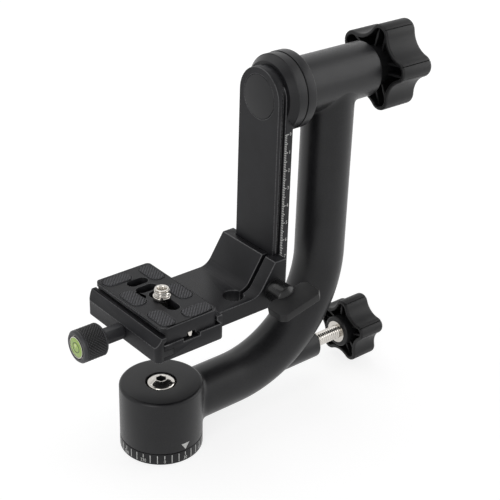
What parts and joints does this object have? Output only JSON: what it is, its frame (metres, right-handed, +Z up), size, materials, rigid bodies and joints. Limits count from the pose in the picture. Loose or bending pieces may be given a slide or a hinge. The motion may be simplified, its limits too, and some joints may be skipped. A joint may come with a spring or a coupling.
{
  "type": "gimbal tripod head",
  "caption": "Gimbal tripod head: round panning base, bent-tube yoke, dovetail swing arm with ruler, sliding platform with quick-release clamp, lobed lock knobs and a plate with camera screw.",
  "frame": {"origin": "centre of the tripod thread's mouth at the underside of the base, on the pan axis", "axes": "+Z up along the pan axis; +X along the tilt axis from the swing arm towards the tilt knob; the yoke lies in the plane y = 0"},
  "size_m": [0.2144, 0.0771, 0.2093],
  "materials": {
    "black_powder": "satin powder coat",
    "black_anodised": "fine bead-blasted and anodised black",
    "black_plastic": "moulded, satin",
    "steel": "turned",
    "nickel": "polished nickel plating",
    "bronze": "sintered",
    "nylon": "satin",
    "rubber": "cross-hatched",
    "level_liquid": "clear liquid",
    "level_lens": "clear"
  },
  "bodies": {
    "base": {"base_dial": "black_anodised", "pan_spindle": "steel", "socket_bushing": "steel", "pan_thrust_washer": "nylon", "pan_washer": "steel", "pan_screw": "nickel"},
    "yoke": {"pan_drum": "black_powder", "pan_bushing_lower": "bronze", "pan_bushing_upper": "bronze", "curved_arm": "black_powder", "tilt_housing": "black_powder", "tilt_bushing_front": "bronze", "tilt_bushing_rear": "bronze"},
    "pan_brake": {"pan_brake_pad": "bronze"},
    "pan_lock": {"pan_lock_rod": "nickel", "pan_knob": "black_plastic", "pan_knob_insert": "nickel"},
    "swing": {"swing_arm": "black_anodised", "arm_cap": "black_anodised", "arm_screw_1": "steel", "arm_screw_2": "steel", "arm_screw_3": "steel", "arm_screw_4": "steel", "tilt_ring": "black_anodised", "tilt_shaft": "steel", "tilt_friction_washer": "nylon"},
    "tilt_washer": {"tilt_thrust_washer": "steel"},
    "tilt_lock": {"tilt_knob": "black_plastic", "tilt_knob_insert": "nickel"},
    "platform": {"platform": "black_anodised"},
    "t_washer": {"t_handle_washer": "steel"},
    "t_lever": {"t_handle": "black_plastic", "t_handle_screw": "steel"},
    "jaw": {"clamp_jaw": "black_anodised"},
    "clamp_turn": {"clamp_screw": "steel", "clamp_knob": "black_anodised", "level_cup": "nickel", "level_liquid": "level_liquid", "level_lens": "level_lens"},
    "plate": {"qr_plate": "black_anodised", "plate_pad_1": "rubber", "plate_pad_2": "rubber", "plate_pad_3": "rubber", "plate_pad_4": "rubber", "plate_pad_5": "rubber", "plate_pad_6": "rubber", "plate_stop_screw_1": "nickel", "plate_stop_screw_2": "nickel"},
    "screw_carrier": {"screw_washer": "steel"},
    "camera_screw": {"camera_screw": "steel", "camera_bushing": "nickel"}
  },
  "joints": [
    {"name": "pan", "type": "hinge", "parent": "base", "child": "yoke", "pos_m": [0, 0, 0], "axis": [0, 0, 1], "continuous": true},
    {"name": "tilt", "type": "hinge", "parent": "yoke", "child": "swing", "pos_m": [0.07, 0, 0.18517], "axis": [1, 0, 0], "continuous": true},
    {"name": "pan_brake_slide", "type": "slide", "parent": "yoke", "child": "pan_brake", "axis": [1, 0, 0], "range_m": [0, 0.00187]},
    {"name": "pan_lock_turn", "type": "hinge", "parent": "pan_brake", "child": "pan_lock", "pos_m": [0.12, 0, 0.02107], "axis": [1, 0, 0], "range_deg": [0, 540]},
    {"name": "tilt_washer_slide", "type": "slide", "parent": "swing", "child": "tilt_washer", "axis": [1, 0, 0], "range_m": [0, 0.0015]},
    {"name": "tilt_lock_turn", "type": "hinge", "parent": "tilt_washer", "child": "tilt_lock", "pos_m": [0.14, 0, 0.18517], "axis": [1, 0, 0], "range_deg": [0, 360]},
    {"name": "platform_slide", "type": "slide", "parent": "swing", "child": "platform", "axis": [0, 0, 1], "range_m": [0, 0.055]},
    {"name": "t_washer_slide", "type": "slide", "parent": "platform", "child": "t_washer", "axis": [0, -1, 0], "range_m": [0, 0.0015]},
    {"name": "t_handle_turn", "type": "hinge", "parent": "t_washer", "child": "t_lever", "pos_m": [0.0572, -0.03, 0.0853], "axis": [0, -1, 0], "range_deg": [0, 540]},
    {"name": "jaw_slide", "type": "slide", "parent": "platform", "child": "jaw", "axis": [-1, 0, 0], "range_m": [0, 0.004]},
    {"name": "clamp_knob_turn", "type": "hinge", "parent": "jaw", "child": "clamp_turn", "pos_m": [-0.04, 0, 0.0792], "axis": [-1, 0, 0], "range_deg": [0, 1440]},
    {"name": "plate_slide", "type": "slide", "parent": "platform", "child": "plate", "axis": [0, 1, 0], "range_m": [-0.0038, 0.0038]},
    {"name": "screw_slide", "type": "slide", "parent": "plate", "child": "screw_carrier", "axis": [0, 1, 0], "range_m": [-0.0094, 0.0053]},
    {"name": "camera_screw_turn", "type": "hinge", "parent": "screw_carrier", "child": "camera_screw", "pos_m": [-0.0031, -0.0055, 0.09], "axis": [0, 0, 1], "continuous": true}
  ],
  "couplings": [
    {"joint": "pan_lock_turn", "follows": "pan_brake_slide", "rad_per_m": 5026.5},
    {"joint": "tilt_lock_turn", "follows": "tilt_washer_slide", "rad_per_m": 4188.8},
    {"joint": "t_handle_turn", "follows": "t_washer_slide", "rad_per_m": 6283.2},
    {"joint": "clamp_knob_turn", "follows": "jaw_slide", "rad_per_m": 6283.2}
  ]
}
